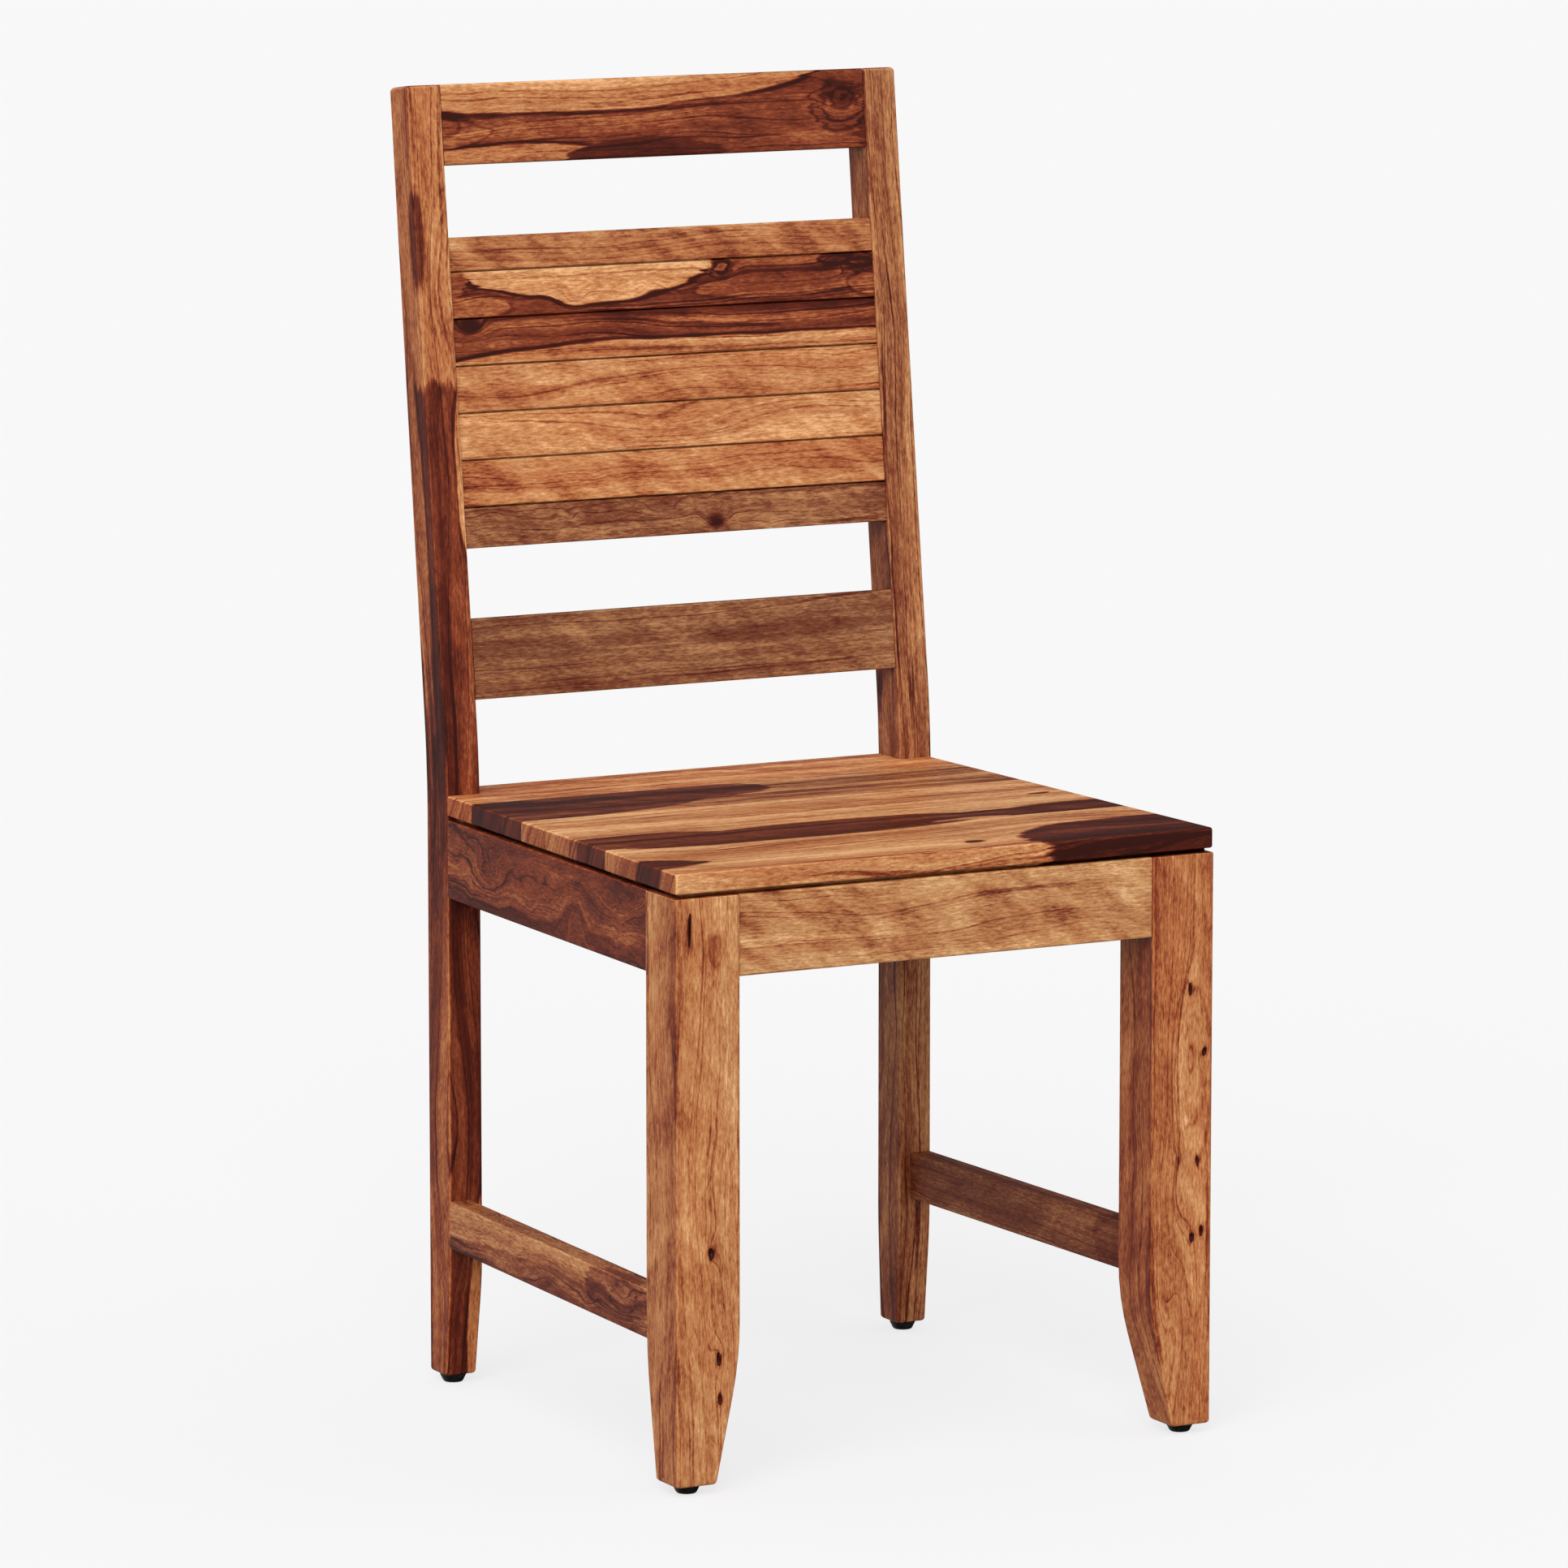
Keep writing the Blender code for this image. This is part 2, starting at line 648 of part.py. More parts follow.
def side_mortises(label, end, solid, side, face, away, chair):
    """Mortises for the side apron and the stretcher in one leg or post."""
    apron = (APRON_THICKNESS, APRON_BOTTOM, FRAME_TOP, TENON_SHOULDER)
    side_mortise(f"{end}_side_apron_mortise_{label}", solid, side, face, away, *apron, chair)
    stretcher = (STRETCHER_THICKNESS, STRETCHER_BOTTOM, STRETCHER_TOP, STRETCHER_SHOULDER)
    side_mortise(f"{end}_stretcher_mortise_{label}", solid, side, face, away, *stretcher, chair)


def front_corner_leg(label, side, chair):
    """A front leg with its mortises and its glide."""
    leg = front_leg(f"front_leg_{label}", side, chair)
    apron = (FRONT_APRON_INSET, APRON_THICKNESS, APRON_BOTTOM, FRAME_TOP, TENON_SHOULDER)
    cross_mortise(f"front_apron_mortise_{label}", leg, side, LEG_INNER, LEG_TENON, *apron, chair)
    side_mortises(label, "front", leg, side, LEG_DEPTH, -1, chair)
    x = (LEG_INNER + LEG_TAPER_WIDTH + FRONT_WIDTH / 2) / 2
    glide(f"front_glide_{label}", leg, side * x, (LEG_DEPTH - LEG_TAPER_DEPTH) / 2, chair)


def rear_corner_post(label, side, chair, back):
    """A rear post with its mortises, its slat housing and its glide."""
    post = rear_post(f"rear_post_{label}", side, chair)
    apron = (REAR_APRON_FRONT, APRON_THICKNESS, APRON_BOTTOM, FRAME_TOP, TENON_SHOULDER)
    cross_mortise(f"rear_apron_mortise_{label}", post, side, POST_INNER, POST_TENON, *apron, chair)
    side_mortises(label, "rear", post, side, POST_SETBACK, 1, chair)
    rails = {
        "lower": (LOWER_RAIL_START, LOWER_RAIL_TOP),
        "top": (TOP_RAIL_START, BACK_TOP),
    }
    for place, (low, high) in rails.items():
        section = (RAIL_INSET, RAIL_THICKNESS, low, high, TENON_SHOULDER)
        mortise = f"{place}_rail_mortise_{label}"
        cross_mortise(mortise, post, side, POST_INNER, RAIL_TENON, *section, back)
    slat_housing(f"slat_housing_{label}", post, side, back)
    x = (POST_INNER + POST_TAPER_WIDTH + REAR_WIDTH / 2) / 2
    y = POST_SETBACK + (POST_TAPER_DEPTH + POST_DEPTH) / 2
    glide(f"rear_glide_{label}", post, side * x, y, chair)


def back_rails(back):
    """The top rail and the lower rail, on tenons between the posts."""
    size = (RAIL_TENON, RAIL_INSET, RAIL_THICKNESS)
    lower = (LOWER_RAIL_START, LOWER_RAIL_TOP, TENON_SHOULDER)
    upper = (TOP_RAIL_START, BACK_TOP, TENON_SHOULDER)
    cross_rail("lower_back_rail", POST_INNER, *size, *lower, back, DULL_WOOD)
    cross_rail("top_rail", POST_INNER, *size, *upper, back, RED_WOOD)


def seat_frame(chair):
    """The four aprons and the two side stretchers; returns the aprons by where they are."""
    heights = (APRON_BOTTOM, FRAME_TOP, TENON_SHOULDER)
    front = (LEG_INNER, LEG_TENON, FRONT_APRON_INSET, APRON_THICKNESS, *heights)
    rear = (POST_INNER, POST_TENON, REAR_APRON_FRONT, APRON_THICKNESS, *heights)
    aprons = {
        "front": cross_rail("front_apron", *front, chair, GOLDEN_WOOD),
        "rear": cross_rail("rear_apron", *rear, chair, DULL_WOOD),
    }
    low = (STRETCHER_THICKNESS, STRETCHER_BOTTOM, STRETCHER_TOP, STRETCHER_SHOULDER)
    for label, side in SIDES.items():
        apron = side_rail(f"side_apron_{label}", side, APRON_THICKNESS, *heights, chair, RED_WOOD)
        aprons[side] = apron
        side_rail(f"side_stretcher_{label}", side, *low, chair, RED_WOOD)
    return aprons


def main():
    clear_scene()
    chair = add_empty("chair_front_line", (0.0, -OVERALL_DEPTH / 2, 0.0))
    back = add_empty("leaning_back", (0.0, POST_SETBACK, BEND_HEIGHT), LEAN, chair)
    for label, side in SIDES.items():
        front_corner_leg(label, side, chair)
        rear_corner_post(label, side, chair, back)
    back_rails(back)
    back_slats(back)
    aprons = seat_frame(chair)
    boards = seat_boards(chair)
    for label, side in SIDES.items():
        corner_block(f"front_block_{label}", side, "front", aprons, boards, chair)
        corner_block(f"rear_block_{label}", side, "rear", aprons, boards, chair)


main()
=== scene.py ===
"""The looks of a slat-back dining chair: its timber, glides, screws, floor, light and camera.

Each wooden piece is a welded copy of its solid with smooth arrises. Its timber is worked out in the
board's own axes, along the grain (u), across the face (v) and through the thickness (w), so that long
grain, edges and end grain agree. A piece's figure is a few swirls, which push the growth rings aside,
a few patches of heartwood or sapwood, whose edges follow the rings, and in the front legs a few pits,
which are small natural holes.
"""

import json
import math

import bmesh
import bpy
from mathutils import Matrix, Vector


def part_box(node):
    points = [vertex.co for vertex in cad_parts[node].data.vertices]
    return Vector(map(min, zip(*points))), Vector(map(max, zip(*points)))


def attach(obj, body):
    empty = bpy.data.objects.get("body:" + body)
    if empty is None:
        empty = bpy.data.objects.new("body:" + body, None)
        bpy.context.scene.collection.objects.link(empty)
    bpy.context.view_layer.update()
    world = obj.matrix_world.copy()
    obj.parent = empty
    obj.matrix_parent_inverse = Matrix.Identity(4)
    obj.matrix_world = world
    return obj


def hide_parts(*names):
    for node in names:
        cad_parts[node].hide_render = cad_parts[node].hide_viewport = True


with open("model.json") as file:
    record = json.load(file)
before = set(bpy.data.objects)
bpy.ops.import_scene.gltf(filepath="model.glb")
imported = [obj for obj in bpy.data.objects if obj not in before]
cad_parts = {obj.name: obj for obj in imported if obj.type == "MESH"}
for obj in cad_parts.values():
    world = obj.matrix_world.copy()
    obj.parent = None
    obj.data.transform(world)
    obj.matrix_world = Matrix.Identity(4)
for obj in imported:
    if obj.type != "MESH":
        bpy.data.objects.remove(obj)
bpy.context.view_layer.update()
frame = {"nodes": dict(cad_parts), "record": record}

bl_info = {
    "name": "Slat-back dining chair",
    "version": (1, 0, 0),
    "blender": (4, 5, 0),
    "location": "3D View > Sidebar > Chair",
    "description": "Timber, glides, screws, floor, light and camera for a slat-back dining chair",
    "category": "Object",
}

BODY = "root"
PLASTIC = "black_plastic"
MM = 0.001

# Meshes: corners within WELD are one, and so are faces that turn less than FLAT_ANGLE
WELD = 0.00002
FLAT_ANGLE = math.radians(0.4)
SMOOTH_ANGLE = math.radians(50)

# Patches and pits, in millimetres but for RING_PULL, the share of the rings' bends that an edge takes
RING_PULL = 0.55
NARROW_PATCH = 10
WIDE_STRAY = (30.0, 4.0)
NARROW_STRAY = (10.0, 4.0)
EDGE_SOFTNESS = 1.3
RIM_WIDTH = (2.4, 0.4)
PIT_DEPTH = 2.2
# Each pit is given the darkest tone through its hollow and a little way round it on the face
PIT_DARK_SPREAD = (0.8, 0.6)
PIT_RIM = 0.12

# How fine each part of the timber's figure is, per metre along, across and through the board
DRIFT = (3.2, 11.0, 11.0)
WAVER = (14.0, 40.0, 40.0)
KNURL = (26.0, 38.0, 38.0)
RAGGED = (22.0, 260.0, 260.0)
FIBRES = (150.0, 640.0, 640.0)
PORES = (190.0, 3600.0, 3600.0)
MOTTLE = (9.0, 26.0, 26.0)
HUE = (6.0, 40.0, 40.0)

# The same for what follows the growth rings, per metre along and across them
BROAD_BANDS = (1.6, 62.0, 1.0)
FINE_LINES = (14.0, 420.0, 1.0)
VEINS = (1.2, 95.0, 1.0)
RIPPLE_SLANT = (46.0, 60.0, 40.0)
RIPPLE_BANDS = 34.0

# Where a vein, a pore, a flat face and a rounded arris fade out and where they are whole
VEIN_SPAN = (0.022, 0.002)
PORE_SPAN = (0.60, 0.72)
FACE_SPAN = (0.7, 0.95)
ARRIS_SPAN = (0.965, 0.80)

# How far each part of the figure moves the tone; the last lines are the end grain, the edges and the
# painted highlight on the arrises
BROAD_TONE = 0.62
FINE_TONE = 0.55
FIBRE_TONE = 0.95
MOTTLE_TONE = 0.34
RIPPLE_TONE = 0.34
VEIN_TONE = 0.20
PORE_TONE = 0.12
END_GRAIN_LOSS = 0.36
EDGE_TONE = 0.06
# How much lighter the rounded arrises are painted: a painted highlight where a satin finish catches the
# light
ARRIS_PAINTED_HIGHLIGHT = 0.07

# What a dull board's colours turn to: their grey, tinted, by a share of its dullness
DRAB = (1.18, 1.03, 0.52)
DRAB_SHARE = 0.55

# Lights: the way each shines, and how many degrees of the sky it fills
KEY_WAY = (0.55, 0.60, -0.58)
KEY_SPREAD = 50.0
FILL_WAY = (-0.75, 0.55, -0.3)
FILL_SPREAD = 70.0
FILL_SHARE = 0.2

# What smooth surfaces mirror of the surroundings: a pale part behind the chair, dark elsewhere
BEHIND = (-0.4, 1.0, 0.0)
BEHIND_SPAN = (0.4, 1.1)
BEHIND_GLOW = (0.01, 0.46)

# The floor's own glow, as light and to the eye, and how much of its look it is
FLOOR_GLOW = (0.31, 0.957)
FLOOR_GLOW_SHARE = 0.82
FLOOR_TOOTH = 0.004


# Shader helpers


class Value:
    """A shader socket that takes part in expressions."""

    def __init__(self, tree, socket):
        self.tree = tree
        self.socket = socket

    def __add__(self, other):
        return self.tree.joined("ADD", self, other)

    def __radd__(self, other):
        return self.tree.joined("ADD", other, self)

    def __sub__(self, other):
        return self.tree.joined("SUBTRACT", self, other)

    def __rsub__(self, other):
        return self.tree.joined("SUBTRACT", other, self)

    def __mul__(self, other):
        return self.tree.joined("MULTIPLY", self, other)

    def __rmul__(self, other):
        return self.tree.joined("MULTIPLY", other, self)

    def __truediv__(self, other):
        return self.tree.joined("DIVIDE", self, other)

    def __rtruediv__(self, other):
        return self.tree.joined("DIVIDE", other, self)

    def __abs__(self):
        return self.tree.joined("ABSOLUTE", self)


class Tree:
    """The nodes of a material or of the world."""

    def __init__(self, owner):
        self.owner = owner
        owner.use_nodes = True
        self.nodes = owner.node_tree.nodes
        self.links = owner.node_tree.links
        self.nodes.clear()

    def node(self, kind, settings=None, sockets=None, output=0):
        """Adds a node: first its settings, then its sockets' values or links."""
        made = self.nodes.new(kind)
        for name, value in (settings or {}).items():
            if name == "stops":
                self.set_stops(made.color_ramp, value)
            else:
                setattr(made, name, value)
        for name, value in (sockets or {}).items():
            if isinstance(value, Value):
                self.links.new(value.socket, made.inputs[name])
            else:
                made.inputs[name].default_value = value
        return Value(self, made.outputs[output]) if made.outputs else None

    @staticmethod
    def set_stops(ramp, stops):
        """Gives a colour ramp its (position, colour) stops."""
        while len(ramp.elements) < len(stops):
            ramp.elements.new(1.0)
        for element, (position, colour) in zip(ramp.elements, stops):
            element.position = position
            element.color = (*colour, 1.0)

    def centred_noise(self, vector, **settings):
        """Smooth noise round 0."""
        return self.noise(vector, **settings) - 0.5

    def combined(self, along, across, through):
        """A vector of three values or numbers."""
        return self.node("ShaderNodeCombineXYZ", {}, {"X": along, "Y": across, "Z": through})

    def colour_mix(self, factor, first, second):
        """Blend of two colours."""
        settings = {"data_type": "RGBA"}
        sockets = {0: factor, 6: (*first, 1.0), 7: (*second, 1.0)}
        return self.node("ShaderNodeMix", settings, sockets, output=2)

    def bump(self, height, strength, distance):
        """Normal of a surface with a height over it."""
        sockets = {"Strength": strength, "Distance": distance, "Height": height}
        return self.node("ShaderNodeBump", {}, sockets)

    def joined(self, operation, *terms):
        """Adds a Math, Vector Math or Mix node for an operation on values and numbers."""
        kinds = {term.socket.type for term in terms if isinstance(term, Value)}
        if "RGBA" in kinds:
            settings = {"data_type": "RGBA", "blend_type": operation, "clamp_factor": False}
            first, second = (self.as_colour(term) for term in terms)
            return self.node("ShaderNodeMix", settings, {0: 1.0, 6: first, 7: second}, output=2)
        if "VECTOR" in kinds:
            first, second = (self.as_vector(term) for term in terms)
            return self.node("ShaderNodeVectorMath", {"operation": operation}, {0: first, 1: second})
        return self.node("ShaderNodeMath", {"operation": operation}, dict(enumerate(terms)))

    @staticmethod
    def as_colour(term):
        return (term, term, term, 1.0) if isinstance(term, (int, float)) else term

    @staticmethod
    def as_vector(term):
        return (term, term, term) if isinstance(term, (int, float)) else term

    def dot(self, first, second):
        """Dot product of two vectors, as a number."""
        sockets = {0: first, 1: second}
        return self.node("ShaderNodeVectorMath", {"operation": "DOT_PRODUCT"}, sockets, output="Value")

    def length(self, vector):
        """Length of a vector, as a number."""
        return self.node("ShaderNodeVectorMath", {"operation": "LENGTH"}, {0: vector}, output="Value")

    def step(self, value, start, end, low=0.0, high=1.0):
        """Smooth step of a value from low at start to high at end."""
        settings = {"interpolation_type": "SMOOTHSTEP", "clamp": True}
        return self.node("ShaderNodeMapRange", settings, {0: value, 1: start, 2: end, 3: low, 4: high})

    def blend(self, factor, first, second):
        """Blend of two numbers."""
        return self.node("ShaderNodeMix", {"data_type": "FLOAT"}, {0: factor, 2: first, 3: second})

    def noise(self, vector, detail=2.0, roughness=0.5, distortion=0.0):
        """Smooth noise round 0.5, one feature to each unit of the vector."""
        sockets = {"Vector": vector, "Scale": 1.0, "Detail": detail, "Roughness": roughness}
        return self.node("ShaderNodeTexNoise", {}, {**sockets, "Distortion": distortion})

    def finish(self, piece, shader):
        """Ends a material in a shader and gives it to a piece."""
        self.node("ShaderNodeOutputMaterial", {}, {"Surface": shader})
        piece.data.materials.clear()
        piece.data.materials.append(self.owner)


# The figure of each board, in millimetres from its middle: u along the grain, v across its face


def board(tone, swirls=(), patches=(), **more):
    """A board's figure.

    tone is how light the wood is, from 0, near black, to 1, pale sapwood. A swirl is (u, v, length,
    width, lift), where the growth rings are pushed aside by lift. A patch is (u, v, length, width,
    tone, rim), with half lengths, where rim is the darkness of the line round it. A patch that shows
    on one face only goes on with (w, depth). A pit, (u, v, length, width), is a small natural hole in
    the face that looks forward. contrast is how strong the rings are, curl how rippled the fibres are,
    burl how knotty the rings are, and dull how grey-brown the lighter colours are.
    """
    return {"tone": tone, "swirls": swirls, "patches": patches, **more}


FIGURES = {
    "top_rail": board(
        0.40,
        swirls=(
            (-175, 0, 40, 15, 14),
            (162, 8, 15, 13, 18),
            (30, -8, 60, 16, -10),
            (-60, 6, 120, 20, 4),
        ),
        patches=(
            (-55, 36, 195, 24, 0.74, 0.3),
            (-135, -34, 120, 20, 0.72, 0.3),
            (-196, -1, 52, 15, 0.44, 0.16),
            (-199, -2, 30, 8, 0.34, 0.2),
            (184, -6, 12, 22, 0.2, 0.0),
            (160, 6, 23, 19, 0.36, 0.2),
            (161, 7, 15, 12, 0.40, 0.2),
            (162, 8, 8, 6.5, 0.30, 0.2),
            (163, 9, 3, 2.5, 0.05, 0.0),
            (-10, -30, 70, 16, 0.24, 0.0),
            (70, 6, 60, 7, 0.34, 0.0),
        ),
        contrast=1.15,
    ),
    "back_slat_1": board(0.58, swirls=((60, 8, 60, 14, -6), (-80, -8, 70, 12, 5)), curl=2.2, dull=0.12),
    "back_slat_2": board(
        0.25,
        swirls=(
            (49, 8, 11, 8, 16),
            (162, 9, 16, 8, -14),
            (-150, -10, 30, 12, -8),
            (-20, -12, 60, 8, 4),
            (-104, -8, 13, 9, -6),
            (-78, -8, 9, 8, 7),
            (-12, -4, 12, 8, -5),
        ),
        patches=(
            (-67, 24, 112, 32, 0.78, 0.35),
            (100, -3, 70, 10, 0.42, 0.12),
            (-168, -12, 36, 8, 0.44, 0.1),
            (186, -8, 26, 9, 0.40, 0.15),
            (48, 9, 9, 6.5, 0.16, 0.2),
            (49, 9, 5, 3.5, 0.36, 0.3),
            (150, 11, 13, 3.0, 0.24, 0.35),
            (170, 8, 10, 2.4, 0.20, 0.35),
            (-184, 8, 16, 12, 0.40, 0.1),
        ),
        contrast=1.4,
    ),
    "back_slat_3": board(
        0.34,
        swirls=((-167, 9, 14, 9, 16), (60, -4, 120, 14, 5), (-60, 4, 40, 8, -4)),
        patches=(
            (70, -25, 270, 22, 0.66, 0.35),
            (-167, 10, 7, 5, 0.1, 0.1),
            (40, 14, 190, 4, 0.2, 0.0),
            (90, 5, 130, 4, 0.42, 0.0),
        ),
        contrast=1.4,
    ),
    "back_slat_4": board(
        0.665,
        swirls=((-130, 0, 40, 14, 9), (40, -6, 80, 12, -6), (150, 2, 40, 9, 5)),
        patches=((-150, -8, 60, 9, 0.52, 0.0),),
        curl=1.5,
    ),
    "back_slat_5": board(
        0.74, swirls=((-10, -2, 50, 14, 12), (110, 4, 50, 14, -8), (-146, 14, 9, 5, 8)), curl=1.4
    ),
    "back_slat_6": board(0.64, swirls=((-120, 0, 50, 12, 6), (90, 6, 70, 14, -7)), curl=2.2, burl=0.6),
    "back_slat_7": board(
        0.43,
        swirls=((32, -8, 12, 8, 14), (-15, 2, 20, 9, 9), (-100, -4, 60, 9, 6)),
        patches=(
            (32, -8, 6, 4, 0.2, 0.12),
            (32, -9, 3.5, 2.5, 0.02, 0.1),
            (120, 15, 75, 5, 0.3, 0.0),
        ),
        curl=2.0,
        burl=1.0,
        dull=0.48,
    ),
    "lower_back_rail": board(
        0.46, dull=0.6, patches=((100, 4, 100, 7, 0.34, 0.0), (150, -14, 60, 4, 0.36, 0.0)), curl=1.0
    ),
    "front_apron": board(0.66, swirls=((-60, 4, 80, 18, 7), (90, -8, 90, 18, -8)), curl=2.4, dull=0.25),
    "rear_apron": board(0.5, dull=0.5),
    "side_apron_left": board(
        0.32,
        swirls=(
            (100, 0, 26, 20, 24),
            (-50, -6, 24, 20, -24),
            (20, -14, 40, 14, 10),
            (-130, 8, 40, 16, 12),
        ),
        contrast=1.25,
        burl=2.4,
    ),
    "side_apron_right": board(0.42, swirls=((40, 4, 70, 22, 12),), burl=1.0),
    "side_stretcher_left": board(
        0.60,
        swirls=(
            (-130, 4, 24, 10, 12),
            (-75, -8, 12, 8, 8),
            (70, -10, 30, 8, 6),
            (0, -8, 20, 8, -6),
        ),
        patches=(
            (0, -20, 190, 16, 0.36, 0.25),
            (-125, 3, 54, 15, 0.33, 0.2),
            (-134, 4, 20, 10, 0.36, 0.15),
        ),
        contrast=1.2,
        dull=0.2,
        burl=0.8,
    ),
    "side_stretcher_right": board(0.42, dull=0.4, patches=((-150, 0, 60, 30, 0.3, 0.0),)),
    "front_leg_left": board(
        0.645,
        swirls=(
            (0, -10, 120, 20, 8),
            (-140, 10, 70, 16, -6),
            (-44, 2, 14, 6, 6),
            (-122, 8, 14, 6, -6),
        ),
        patches=((176, 6, 12, 7, 0.46, 0.06),),
        pits=(
            (-44, 2, 3.6, 1.9),
            (-123, 8, 4.6, 1.7),
            (-153, 9, 3.8, 1.5),
            (193, -15, 11, 0.7),
        ),
        curl=1.3,
        dull=0.08,
    ),
    "front_leg_right": board(
        0.59,
        swirls=(
            (60, 4, 60, 12, 22),
            (-40, -6, 50, 14, 12),
            (-140, 0, 60, 14, -12),
            (-110, -14, 30, 8, 8),
        ),
        patches=(
            (0, -40, 260, 18, 0.5, 0.0),
            (48, 3, 66, 14, 0.64, 0.12),
            (44, 3, 36, 10, 0.74, 0.10),
            (-70, 4, 60, 10, 0.66, 0.08),
        ),
        pits=(
            (114, 6, 4.2, 1.4),
            (68, 19, 2.2, 1.2),
            (-15, 13, 2.8, 1.4),
            (-68, 17, 3.2, 1.1),
            (-72, 9, 2.8, 1.4),
        ),
        curl=1.2,
    ),
    "rear_post_left": board(
        0.59,
        swirls=(
            (330, 0, 60, 10, 8),
            (60, -4, 90, 12, 8),
            (-120, 6, 90, 14, 13),
            (-290, -4, 80, 14, -13),
        ),
        patches=(
            (-125, -2, 392, 70, 0.25, 0.2),
            (90, -16, 270, 12, 0.60, 0.12, 28, 20),
            (376, -12, 38, 5.5, 0.18, 0.1, 1, 7),
            (345, 15, 68, 17, 0.62, 0.11),
            (342, 16, 52, 12, 0.58, 0.11),
            (338, 17, 36, 7.5, 0.66, 0.11),
            (-320, -17, 330, 4.5, 0.50, 0.0),
            (200, 17, 66, 9, 0.70, 0.2),
            (-430, 18, 90, 14, 0.60, 0.15),
            (165, 1, 95, 7, 0.37, 0.0),
            (-40, 3, 80, 5, 0.33, 0.0),
        ),
        contrast=1.2,
    ),
    "rear_post_right": board(
        0.53,
        # The second patch is paler wood on the inner side, lifted further as painted light to offset the
        # shade that side gets from the key light
        patches=((-250, 8, 300, 16, 0.45, 0.0), (-280, -20, 260, 14, 0.6, 0.0)),
        contrast=1.7,
        dull=0.3,
    ),
    "seat_board_1": board(
        0.78,
        swirls=((-150, 10, 60, 30, 12), (36, -32, 26, 10, 8), (120, 10, 60, 30, -14)),
        patches=(
            (-60, 66, 150, 20, 0.14, 0.2),
            (238, -38, 162, 56, 0.15, 0.3),
            (-236, -12, 56, 20, 0.16, 0.2),
            (36, -32, 8, 4.5, 0.04, 0.1),
        ),
        contrast=1.5,
    ),
    "seat_board_2": board(
        0.23,
        patches=((86, -22, 46, 16, 0.78, 0.1), (160, 10, 80, 7, 0.06, 0.0)),
        contrast=1.8,
        dull=0.1,
    ),
    "seat_board_3": board(
        0.78,
        patches=(
            (-175, -18, 72, 25, 0.22, 0.2),
            (-20, -26, 120, 26, 0.22, 0.2),
            (194, -24, 62, 19, 0.16, 0.2),
        ),
        contrast=1.5,
        dull=0.04,
    ),
    "seat_board_4": board(
        0.8,
        swirls=((191, 0, 20, 7, 7),),
        patches=((191, 0, 9, 2.5, 0.1, 0.1),),
        contrast=1.7,
    ),
    "seat_board_5": board(0.76, contrast=1.7, curl=1.6),
    "seat_board_6": board(
        0.55,
        patches=((-240, 22, 192, 38, 0.22, 0.35),),
        contrast=1.5,
        curl=1.2,
        dull=0.18,
    ),
    "seat_board_7": board(
        0.57,
        patches=((-190, 6, 216, 45, 0.20, 0.3), (-205, 16, 40, 9, 0.06, 0.0)),
        contrast=1.8,
        curl=1.2,
        dull=0.18,
    ),
    "seat_board_8": board(
        0.77,
        swirls=((38, 10, 16, 10, 9),),
        contrast=1.6,
        curl=1.4,
        burl=0.6,
        dull=-0.35,
    ),
    "front_block_left": board(0.5, dull=0.5),
    "front_block_right": board(0.5, dull=0.5),
    "rear_block_left": board(0.5, dull=0.5),
    "rear_block_right": board(0.5, dull=0.5),
}

# The record's material slot of each node
SLOTS = {item["node"]: item["material_slot"] for item in frame["record"]["subparts"]}


# Settings


def colour_setting(name, about, default):
    """A colour that a user can change."""
    return bpy.props.FloatVectorProperty(
        name=name, description=about, default=default, subtype="COLOR", size=3, min=0.0, max=1.0
    )


class TimberSettings(bpy.types.PropertyGroup):
    """Colours and grain of the timber."""

    pale: colour_setting("Pale", "Sapwood", (0.80, 0.43, 0.200))
    golden: colour_setting("Golden", "Light golden wood", (0.56, 0.262, 0.101))
    orange: colour_setting("Orange", "Orange-brown wood", (0.44, 0.147, 0.048))
    russet: colour_setting("Russet", "Red-brown heartwood", (0.235, 0.0455, 0.0150))
    plum: colour_setting("Plum", "Dark heartwood", (0.100, 0.0132, 0.0054))
    black: colour_setting("Black", "Darkest rings and knots", (0.038, 0.0056, 0.0030))
    sheen: bpy.props.FloatProperty(
        name="Sheen", description="Gloss of the clear finish", default=0.16, min=0.0, max=1.0
    )
    roughness: bpy.props.FloatProperty(
        name="Roughness", description="Roughness of the clear finish", default=0.42, min=0.0, max=1.0
    )
    sway: bpy.props.FloatProperty(
        name="Sway", description="How far growth rings wander", default=0.011, min=0.0, unit="LENGTH"
    )
    pore_depth: bpy.props.FloatProperty(
        name="Pore depth", description="Depth of the open pores", default=0.00012, min=0.0, unit="LENGTH"
    )


class HardwareSettings(bpy.types.PropertyGroup):
    """Colours of the glides, nails and screws."""

    plastic: colour_setting("Glides", "Moulded plastic of the glides", (0.010, 0.010, 0.011))
    steel: colour_setting("Steel", "Zinc-plated screws and nails", (0.62, 0.62, 0.60))


